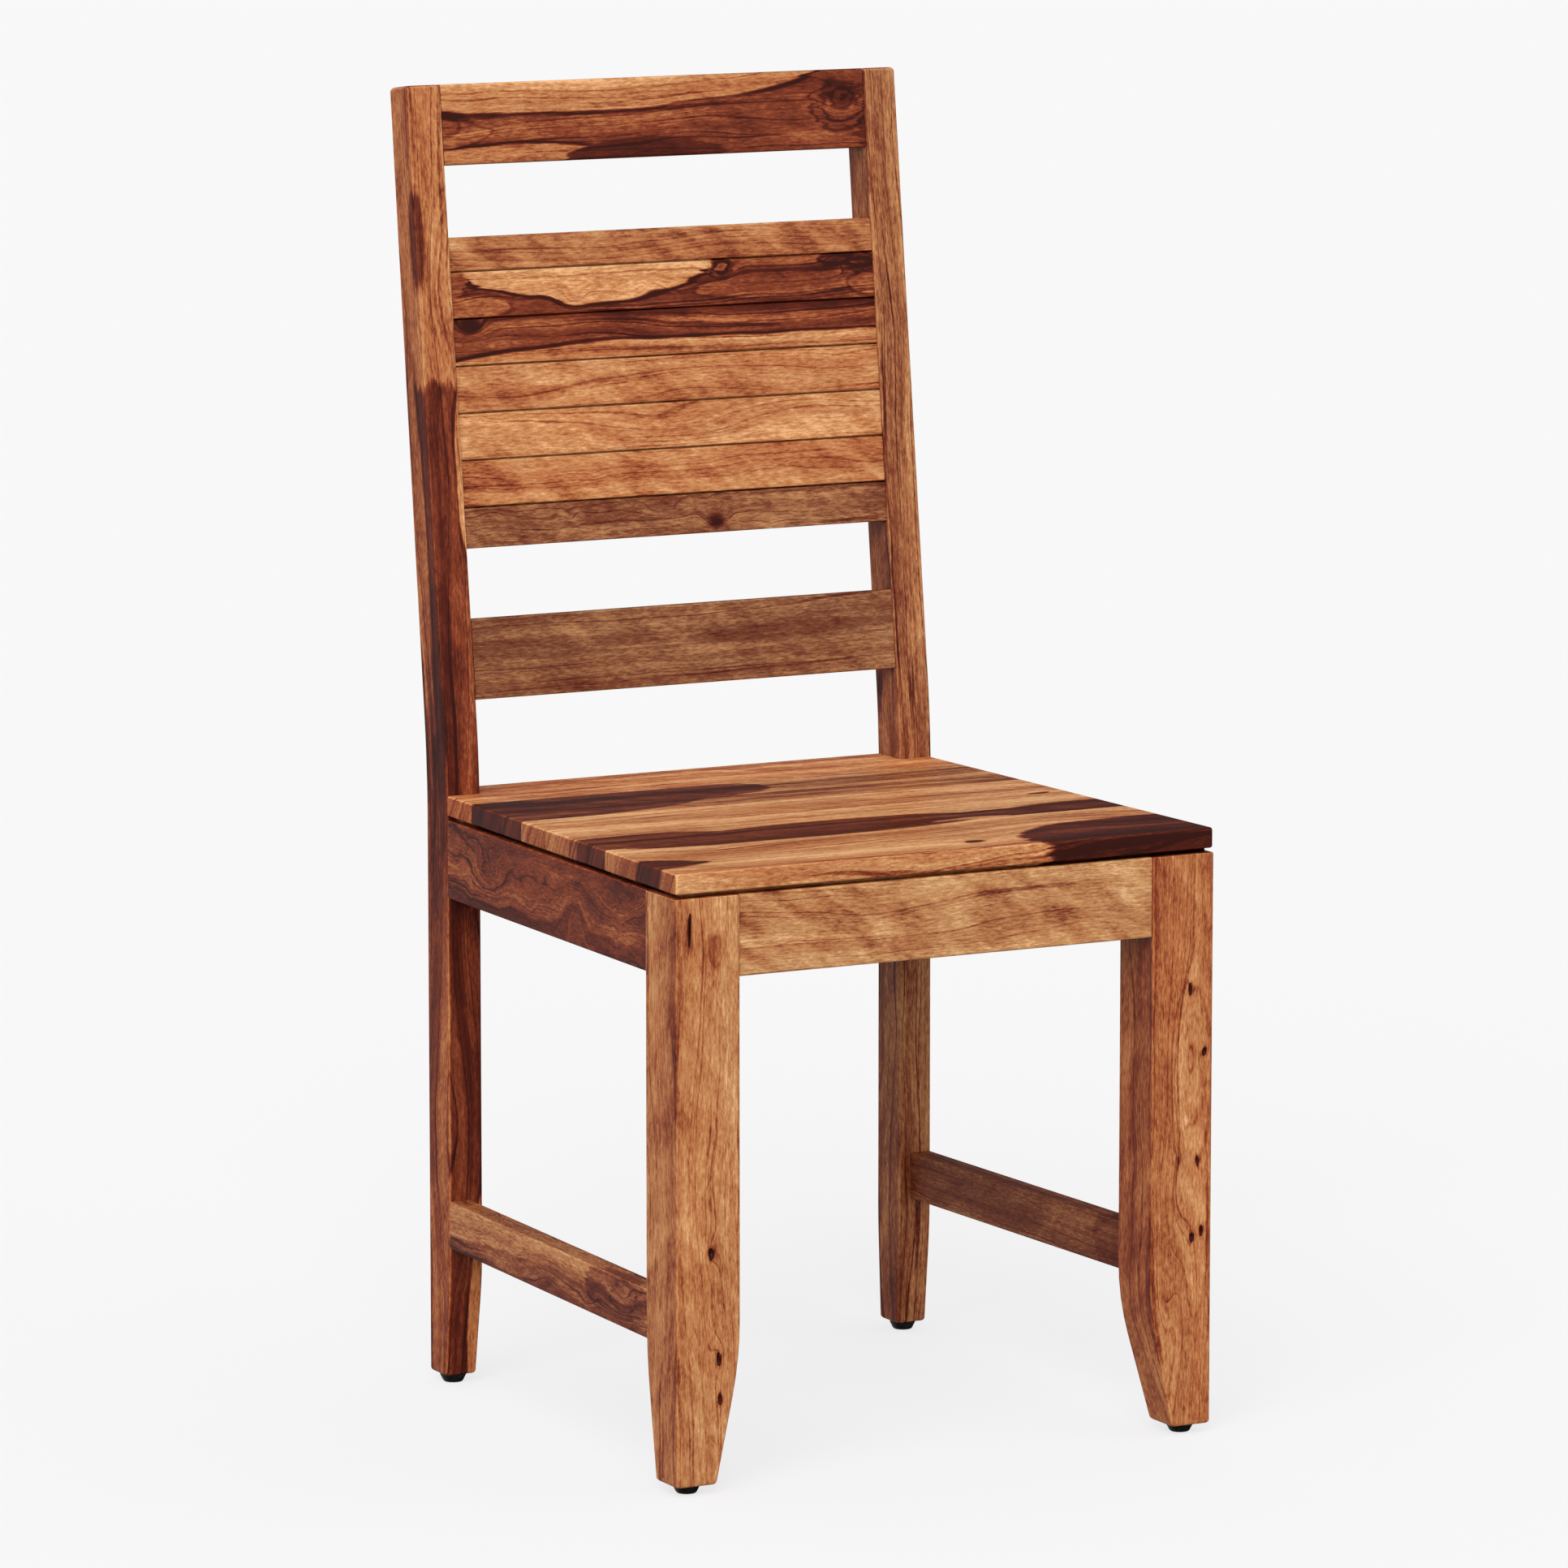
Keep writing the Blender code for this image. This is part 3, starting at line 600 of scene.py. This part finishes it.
class StageSettings(bpy.types.PropertyGroup):
    """Floor, light and camera."""

    paper: colour_setting("Paper", "The pale floor and surroundings", (0.939, 0.934, 0.939))
    floor_radius: bpy.props.FloatProperty(
        name="Floor radius", description="Radius of the floor", default=40.0, min=1.0, unit="LENGTH"
    )
    ambient: bpy.props.FloatProperty(
        name="Ambient", description="Strength of the light from all round", default=0.81, min=0.0
    )
    key: bpy.props.FloatProperty(
        name="Key", description="Strength of the main light, from the front left", default=2.3, min=0.0
    )
    lens: bpy.props.FloatProperty(
        name="Lens", description="Focal length of the camera", default=198.0, min=1.0, unit="CAMERA"
    )
    azimuth: bpy.props.FloatProperty(
        name="Azimuth",
        description="Camera's turn round the chair",
        default=math.radians(-28.24),
        subtype="ANGLE",
    )
    elevation: bpy.props.FloatProperty(
        name="Elevation",
        description="Camera's height angle",
        default=math.radians(8.87),
        subtype="ANGLE",
    )
    distance: bpy.props.FloatProperty(
        name="Distance", description="Camera to what it looks at", default=6.3403, unit="LENGTH"
    )
    target: bpy.props.FloatVectorProperty(
        name="Target",
        description="What the camera looks at",
        default=(-0.0646, -0.1129, 0.4924),
        subtype="XYZ",
        unit="LENGTH",
        size=3,
    )


# Grain axes


def middle(node):
    """The middle of a node's box."""
    low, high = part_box(node)
    return (low + high) / 2


RAKE = (middle("top_rail") - middle("lower_back_rail")).normalized()
ACROSS = Vector((1, 0, 0))
DEEP = Vector((0, 1, 0))
UP = Vector((0, 0, 1))


def end_to_end(node):
    """Unit vector from the front end of a side piece to its rear end."""
    points = [vertex.co for vertex in frame["nodes"][node].data.vertices]
    front = min(point.y for point in points)
    rear = max(point.y for point in points)
    near = [point for point in points if point.y - front < WELD]
    far = [point for point in points if rear - point.y < WELD]
    start = sum(near, Vector()) / len(near)
    end = sum(far, Vector()) / len(far)
    return (end - start).normalized()


class Grain:
    """Where a board's middle is and how its grain runs.

    A bent board also says from which height it leans back, and by what angle. Its depth is then
    measured from the front of its foot.
    """

    def __init__(self, node, along, across, bend=None):
        low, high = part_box(node)
        self.centre = (low + high) / 2
        self.along = along.normalized()
        self.across = across.normalized()
        self.through = self.along.cross(self.across)
        self.front = -abs(self.through.dot(high - low)) / 2
        self.bend = bend
        if bend:
            self.centre.y = low.y
            self.front = 0.0


# Timber


def palette(timber, dull):
    """Stops from black to pale, all but the two darkest turned to drab for duller boards."""
    dark = (timber.black, timber.plum)
    light = (timber.russet, timber.orange, timber.golden, timber.pale)
    colours = [tuple(colour) for colour in dark]
    for red, green, blue in light:
        grey = 0.30 * red + 0.59 * green + 0.11 * blue
        pairs = zip((red, green, blue), DRAB)
        colours.append(tuple(own + (tint * grey - own) * (DRAB_SHARE * dull) for own, tint in pairs))
    return [(index / (len(colours) - 1), colour) for index, colour in enumerate(colours)]


def board_point(tree, grain):
    """The shaded point in the board's own axes, in metres from its middle."""
    place = tree.node("ShaderNodeTexCoord", output="Object")
    if grain.bend is not None:
        height, lean = grain.bend
        rise = tree.dot(place, tuple(UP)) - height
        back = tree.joined("SMOOTH_MAX", rise, 0.0, 0.04) * math.tan(lean)
        place = place - tree.combined(0.0, back, 0.0)
    place = place - tuple(grain.centre)
    axes = (grain.along, grain.across, grain.through)
    return tree.combined(*(tree.dot(place, tuple(axis)) for axis in axes))


def scaled(point, scale, seed):
    """The point stretched for a noise, and shifted so that each board has its own."""
    return point * scale + (seed, seed * 1.7, seed * 2.3)


def bulge(tree, point, centre, reach):
    """1 at a centre, falling smoothly to 0 beyond its reach."""
    offset = (point - centre) * tuple(1 / size if size else 0.0 for size in reach)
    return tree.joined("POWER", math.e, tree.dot(offset, offset) * -1.0)


def ring_place(tree, point, figure, sway, seed):
    """Across-the-face place of a point's growth ring, after sway and swirls, in metres."""
    drift = tree.centred_noise(scaled(point, DRIFT, seed))
    waver = tree.centred_noise(scaled(point, WAVER, seed), detail=1.0)
    place = tree.dot(point, (0.0, 1.0, 0.5)) + drift * (2 * sway) + waver * (0.5 * sway)
    if "burl" in figure:
        knurl = tree.centred_noise(scaled(point, KNURL, seed + 3.0), distortion=0.6)
        place = place + knurl * (figure["burl"] * sway)
    for u, v, length, width, lift in figure["swirls"]:
        lobe = bulge(tree, point, (u * MM, v * MM, 0.0), (length * MM, width * MM, 0.0))
        place = place + lobe * (lift * MM)
    return place


def patched(tree, point, rings, figure, front, seed):
    """The board's tone, with its patches of heartwood and sapwood laid in, and dark pits."""
    tone = figure["tone"]
    patches = list(figure["patches"])
    # Each pit gets the darkest tone inside its hollow and in a thin ring round it on the face
    for u, v, length, width in figure.get("pits", ()):
        spread_along, spread_across = PIT_DARK_SPREAD
        darkened = (u, v, length + spread_along, width + spread_across, 0.0, PIT_RIM)
        patches.append((*darkened, front / MM, 4 * PIT_DEPTH))
    if not patches:
        return tone
    ragged = tree.centred_noise(scaled(point, RAGGED, seed), detail=3.0)
    along, across, through = (tree.dot(point, axis) for axis in ((1, 0, 0), (0, 1, 0), (0, 0, 1)))
    followed = across + (rings - across) * RING_PULL
    wide, narrow = (
        tree.combined(ragged * (stray_along * MM), ragged * (stray_across * MM), 0.0)
        for stray_along, stray_across in (WIDE_STRAY, NARROW_STRAY)
    )
    drawn = tree.combined(along, followed, through) + wide
    steady = point + narrow
    for u, v, length, width, patch_tone, rim, *deep in patches:
        w, depth = deep or (0.0, 0.0)
        place = steady if width < NARROW_PATCH else drawn
        reach = (1 / (length * MM), 1 / (width * MM), 1 / (depth * MM) if depth else 0.0)
        offset = (place - (u * MM, v * MM, w * MM)) * reach
        ratio = tree.length(offset)
        outside = (ratio - 1.0) * ratio / (tree.length(offset * reach) + 0.001)
        soft = min(EDGE_SOFTNESS, 0.3 * width) * MM
        tone = tree.blend(tree.step(outside, soft, -soft), tone, patch_tone)
        if rim:
            outer, inner = RIM_WIDTH
            tone = tone - tree.step(abs(outside - soft), outer * MM, inner * MM) * rim
    return tone


def faces_of(tree, grain):
    """How far a face is end grain, how far it is an edge, and how far it is a rounded arris."""
    facing = tree.node("ShaderNodeTexCoord", output="Normal")
    axes = (grain.along, grain.across, grain.through)
    along, across, through = (abs(tree.dot(facing, tuple(axis))) for axis in axes)
    flatness = tree.joined("MAXIMUM", tree.joined("MAXIMUM", along, across), through)
    end_grain = tree.step(along, *FACE_SPAN)
    edge = tree.step(across, *FACE_SPAN)
    return end_grain, edge, tree.step(flatness, *ARRIS_SPAN)


def timber_material(piece, figure, grain, timber, seed):
    """Clear-finished rosewood with the board's own figure."""
    tree = Tree(bpy.data.materials.new(piece.name))
    contrast = figure.get("contrast", 1.0)
    point = board_point(tree, grain)
    rings = ring_place(tree, point, figure, timber.sway, seed)

    along = tree.dot(point, (1.0, 0.0, 0.0))
    ring_point = tree.combined(along, rings, seed * 3.1)
    broad = tree.centred_noise(ring_point * BROAD_BANDS, detail=3.0, roughness=0.55)
    fine = tree.centred_noise(ring_point * FINE_LINES, detail=5.0, roughness=0.7)
    veins = tree.centred_noise(ring_point * VEINS + (4.0, 9.0, 0.0), roughness=0.4)
    vein_lines = tree.step(abs(veins), *VEIN_SPAN)

    fibres = tree.centred_noise(scaled(point, FIBRES, seed), detail=3.0, roughness=0.7)
    pores = tree.step(tree.noise(scaled(point, PORES, seed), detail=1.0), *PORE_SPAN)
    mottle = tree.centred_noise(scaled(point, MOTTLE, seed), detail=3.0, roughness=0.55)
    slanted = tree.dot(point, RIPPLE_SLANT)
    ripple = tree.centred_noise(tree.combined(slanted, rings * RIPPLE_BANDS, seed), detail=3.0)

    tone = patched(tree, point, rings, figure, grain.front, seed)
    tone = tone + broad * (BROAD_TONE * contrast) + mottle * MOTTLE_TONE
    grainy = 0.25 + tree.joined("MAXIMUM", tone, 0.0) * 1.05
    tone = tone + (fine * (FINE_TONE * contrast) + fibres * FIBRE_TONE) * grainy
    tone = tone + ripple * (RIPPLE_TONE * figure.get("curl", 0.8))
    tone = tone - vein_lines * (VEIN_TONE * contrast) - pores * PORE_TONE
    end_grain, edge, arris = faces_of(tree, grain)
    # End grain and edges are darker wood; the rounded arrises are painted lighter, a painted highlight
    tone = tone * (1.0 - end_grain * END_GRAIN_LOSS) - edge * EDGE_TONE + arris * ARRIS_PAINTED_HIGHLIGHT

    stops = palette(timber, figure.get("dull", 0.0))
    colour = tree.node("ShaderNodeValToRGB", {"stops": stops}, {0: tone})
    hue = tree.centred_noise(scaled(point, HUE, seed + 7.0))
    channels = {0: 1.0 + hue * 0.05, 1: 1.0 - hue * 0.16, 2: 1.0 - hue * 0.3}
    warmth = tree.node("ShaderNodeCombineColor", {}, channels)

    height = fibres * 0.35 + ripple * 0.6 - pores - vein_lines * 0.3
    sockets = {
        "Base Color": colour * warmth,
        "Roughness": timber.roughness + pores * 0.25 + mottle * 0.12 - arris * 0.05,
        "Specular IOR Level": timber.sheen,
        "Normal": tree.bump(height * timber.pore_depth, 0.6, 1.0),
    }
    tree.finish(piece, tree.node("ShaderNodeBsdfPrincipled", {}, sockets))


# Pieces


def linked(name, data):
    """A new object in the scene."""
    item = bpy.data.objects.new(name, data)
    bpy.context.scene.collection.objects.link(item)
    return item


def mesh_of(shape, name):
    """A mesh with a finished shape, whose working copy is freed."""
    mesh = bpy.data.meshes.new(name)
    shape.to_mesh(mesh)
    shape.free()
    return mesh


def welded_copy(node, name):
    """A copy of a node's solid whose corners are welded, its flat faces made whole."""
    shape = bmesh.new()
    shape.from_mesh(frame["nodes"][node].data)
    bmesh.ops.remove_doubles(shape, verts=shape.verts, dist=WELD)
    bmesh.ops.dissolve_limit(shape, angle_limit=FLAT_ANGLE, verts=shape.verts, edges=shape.edges)
    return mesh_of(shape, name)


def add_piece(mesh, node):
    """Shows a mesh, smooth but for its sharp edges, as the piece that stands for a node."""
    mesh.shade_smooth()
    mesh.set_sharp_from_angle(angle=SMOOTH_ANGLE)
    piece = linked(mesh.name, mesh)
    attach(piece, BODY)
    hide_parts(node)
    return piece


def pitted(mesh, grain, pits):
    """The mesh with its small natural holes sunk into the front face."""
    shape = bmesh.new()
    axes = Matrix((grain.along, grain.across, grain.through)).transposed()
    for u, v, length, width in pits:
        place = grain.centre + axes @ Vector((u * MM, v * MM, grain.front))
        size = Matrix.Diagonal((length, width, PIT_DEPTH, 1.0))
        spot = Matrix.Translation(place) @ axes.to_4x4() @ size
        bmesh.ops.create_icosphere(shape, subdivisions=2, radius=MM, matrix=spot)
    solid = linked(mesh.name, mesh)
    cutter = linked("pits", mesh_of(shape, "pits"))
    sunk = solid.modifiers.new("Pits", "BOOLEAN")
    sunk.solver = "EXACT"
    sunk.object = cutter
    cut = bpy.data.meshes.new_from_object(solid.evaluated_get(bpy.context.evaluated_depsgraph_get()))
    cut.name = mesh.name
    for item in (solid, cutter):
        bpy.data.objects.remove(item)
    return cut


def wooden_piece(node, grain):
    """Shows a wooden node, with its pits and its timber."""
    figure = FIGURES[node]
    mesh = welded_copy(node, node + "_timber")
    if "pits" in figure:
        mesh = pitted(mesh, grain, figure["pits"])
    piece = add_piece(mesh, node)
    weighted = piece.modifiers.new("Flat faces", "WEIGHTED_NORMAL")
    weighted.keep_sharp = True
    weighted.weight = 100
    timber_material(piece, figure, grain, bpy.context.scene.chair_timber, seed_of(node))


def seed_of(node):
    """A steady number for each piece, so that no two boards share a figure."""
    return 3.7 * sorted(FIGURES).index(node) + 1.3


def nodes_named(*starts):
    """The wooden nodes whose names start with one of some words."""
    return [node for node in sorted(frame["nodes"]) if node.startswith(starts) and node in FIGURES]


class CHAIR_OT_back(bpy.types.Operator):
    """Finish the top rail, the slats and the lower rail"""

    bl_idname = "chair.back"
    bl_label = "Back rail and slats"

    def execute(self, context):
        for node in nodes_named("top_rail", "back_slat", "lower_back_rail"):
            wooden_piece(node, Grain(node, ACROSS, RAKE))
        return {"FINISHED"}


class CHAIR_OT_posts(bpy.types.Operator):
    """Finish the two bent rear posts"""

    bl_idname = "chair.posts"
    bl_label = "Rear posts"

    def execute(self, context):
        lean = math.atan2(RAKE.y, RAKE.z)
        bend_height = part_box("seat_board_1")[1].z
        for node in nodes_named("rear_post"):
            wooden_piece(node, Grain(node, UP, ACROSS, bend=(bend_height, lean)))
        return {"FINISHED"}


class CHAIR_OT_legs(bpy.types.Operator):
    """Finish the two front legs"""

    bl_idname = "chair.legs"
    bl_label = "Front legs"

    def execute(self, context):
        for node in nodes_named("front_leg"):
            wooden_piece(node, Grain(node, UP, ACROSS))
        return {"FINISHED"}


class CHAIR_OT_seat(bpy.types.Operator):
    """Finish the boards of the seat"""

    bl_idname = "chair.seat"
    bl_label = "Seat boards"

    def execute(self, context):
        for node in nodes_named("seat_board"):
            wooden_piece(node, Grain(node, ACROSS, DEEP))
        return {"FINISHED"}


class CHAIR_OT_frame(bpy.types.Operator):
    """Finish the aprons, the stretchers and the corner blocks"""

    bl_idname = "chair.frame"
    bl_label = "Aprons, stretchers and blocks"

    def execute(self, context):
        for node in nodes_named("front_apron", "rear_apron", "front_block", "rear_block"):
            wooden_piece(node, Grain(node, ACROSS, UP))
        for node in nodes_named("side_apron", "side_stretcher"):
            wooden_piece(node, Grain(node, end_to_end(node), UP))
        return {"FINISHED"}


def moulded_plastic(piece, colour):
    """Dark grained plastic, scuffed in places."""
    tree = Tree(bpy.data.materials.new(piece.name))
    place = tree.node("ShaderNodeTexCoord", output="Object")
    grainy = tree.noise(place * 2600.0)
    worn = tree.step(tree.noise(place * (300.0, 300.0, 900.0), detail=3.0), 0.55, 0.75)
    scuffed = tuple(0.03 + 2.0 * channel for channel in colour)
    sockets = {
        "Base Color": tree.colour_mix(worn * 0.5, colour, scuffed),
        "Roughness": 0.38 + worn * 0.25,
        "Normal": tree.bump(grainy, 0.5, 0.00008),
    }
    tree.finish(piece, tree.node("ShaderNodeBsdfPrincipled", {}, sockets))


def plated_steel(piece, colour):
    """Cloudy zinc plate over fine turning marks."""
    tree = Tree(bpy.data.materials.new(piece.name))
    place = tree.node("ShaderNodeTexCoord", output="Object")
    cloudy = tree.noise(place * 900.0, detail=3.0)
    turned = tree.noise(place * (2600.0, 2600.0, 200.0))
    clouded = tuple(0.72 * channel for channel in colour)
    sockets = {
        "Base Color": tree.colour_mix(cloudy, colour, clouded),
        "Metallic": 1.0,
        "Roughness": 0.26 + cloudy * 0.22,
        "Normal": tree.bump(turned, 0.4, 0.00004),
    }
    tree.finish(piece, tree.node("ShaderNodeBsdfPrincipled", {}, sockets))


class CHAIR_OT_hardware(bpy.types.Operator):
    """Finish the glides, the nails and the screws"""

    bl_idname = "chair.hardware"
    bl_label = "Glides, nails and screws"

    def execute(self, context):
        hardware = context.scene.chair_hardware
        for node in sorted(set(frame["nodes"]) - set(FIGURES)):
            piece = add_piece(welded_copy(node, node + "_part"), node)
            if SLOTS[node] == PLASTIC:
                moulded_plastic(piece, hardware.plastic)
            else:
                plated_steel(piece, hardware.steel)
        return {"FINISHED"}


# Stage


def paper_floor(stage):
    """A wide round floor of pale paper that glows a little, so that it stays pale far away."""
    shape = bmesh.new()
    bmesh.ops.create_circle(shape, cap_ends=True, segments=96, radius=stage.floor_radius)
    floor = linked("floor", mesh_of(shape, "floor"))
    floor.visible_glossy = False
    tree = Tree(bpy.data.materials.new("paper"))
    tooth = tree.centred_noise(tree.node("ShaderNodeTexCoord", output="Object") * 60.0)
    paper = (*stage.paper, 1.0)
    lit = tree.node("ShaderNodeBsdfDiffuse", {}, {"Color": paper})
    seen = tree.node("ShaderNodeLightPath", output="Is Camera Ray")
    strength = tree.blend(seen, *FLOOR_GLOW)
    glow = tree.node("ShaderNodeEmission", {}, {"Color": paper, "Strength": strength})
    share = FLOOR_GLOW_SHARE + tooth * FLOOR_TOOTH
    tree.finish(floor, tree.node("ShaderNodeMixShader", {}, {0: share, 1: lit, 2: glow}))


def surroundings(stage):
    """Light from all round: pale to the eye, softer as light, and in reflections pale only behind."""
    world = bpy.data.worlds.new("surroundings")
    bpy.context.scene.world = world
    tree = Tree(world)
    towards = tree.node("ShaderNodeTexCoord", output="Generated")
    behind = tree.step(tree.dot(towards, BEHIND), *BEHIND_SPAN, *BEHIND_GLOW)
    seen = tree.node("ShaderNodeLightPath", output="Is Camera Ray")
    mirrored = tree.node("ShaderNodeLightPath", output="Is Glossy Ray")
    strength = tree.blend(seen, tree.blend(mirrored, stage.ambient, behind), 1.0)
    sockets = {"Color": (*stage.paper, 1.0), "Strength": strength}
    tree.node("ShaderNodeOutputWorld", {}, {"Surface": tree.node("ShaderNodeBackground", {}, sockets)})


def add_sun(name, way, strength, spread):
    """A broad soft light that shines a given way."""
    light = bpy.data.lights.new(name, "SUN")
    light.energy = strength
    light.angle = math.radians(spread)
    linked(name, light).rotation_euler = Vector(way).to_track_quat("-Z", "Y").to_euler()


def add_camera(stage):
    """The camera, at its angles and distance from what it looks at."""
    camera = bpy.data.cameras.new("camera")
    camera.lens = stage.lens
    camera.sensor_width = 36.0
    camera.clip_end = 200.0
    turn, rise = stage.azimuth, stage.elevation
    flat = math.cos(rise)
    back = Vector((math.sin(turn) * flat, -math.cos(turn) * flat, math.sin(rise)))
    holder = linked("camera", camera)
    holder.location = Vector(stage.target) + back * stage.distance
    holder.rotation_euler = (-back).to_track_quat("-Z", "Y").to_euler()
    bpy.context.scene.camera = holder


class CHAIR_OT_stage(bpy.types.Operator):
    """Lay the floor and set the light and the camera"""

    bl_idname = "chair.stage"
    bl_label = "Floor, light and camera"

    def execute(self, context):
        stage = context.scene.chair_stage
        paper_floor(stage)
        surroundings(stage)
        add_sun("key", KEY_WAY, stage.key, KEY_SPREAD)
        add_sun("fill", FILL_WAY, FILL_SHARE * stage.key, FILL_SPREAD)
        add_camera(stage)
        context.scene.view_settings.view_transform = "Standard"
        return {"FINISHED"}


# Panel


class CHAIR_PT_panel(bpy.types.Panel):
    """The chair's pieces and settings"""

    bl_idname = "CHAIR_PT_panel"
    bl_label = "Dining chair"
    bl_space_type = "VIEW_3D"
    bl_region_type = "UI"
    bl_category = "Chair"

    def draw(self, context):
        for operator in OPERATORS:
            self.layout.operator(operator.bl_idname)
        for name in SETTINGS:
            box = self.layout.box()
            settings = getattr(context.scene, name)
            for key in settings.bl_rna.properties.keys():
                if key not in ("rna_type", "name"):
                    box.prop(settings, key)


OPERATORS = (
    CHAIR_OT_stage,
    CHAIR_OT_legs,
    CHAIR_OT_posts,
    CHAIR_OT_back,
    CHAIR_OT_frame,
    CHAIR_OT_seat,
    CHAIR_OT_hardware,
)
SETTINGS = {
    "chair_timber": TimberSettings,
    "chair_hardware": HardwareSettings,
    "chair_stage": StageSettings,
}


def register():
    for item in (*SETTINGS.values(), *OPERATORS, CHAIR_PT_panel):
        bpy.utils.register_class(item)
    for name, group in SETTINGS.items():
        setattr(bpy.types.Scene, name, bpy.props.PointerProperty(type=group))


def unregister():
    for name in SETTINGS:
        delattr(bpy.types.Scene, name)
    for item in reversed((*SETTINGS.values(), *OPERATORS, CHAIR_PT_panel)):
        bpy.utils.unregister_class(item)


def main():
    register()
    bpy.ops.chair.stage()
    bpy.ops.chair.legs()
    bpy.ops.chair.posts()
    bpy.ops.chair.back()
    bpy.ops.chair.frame()
    bpy.ops.chair.seat()
    bpy.ops.chair.hardware()


if __name__ == "__main__":
    main()
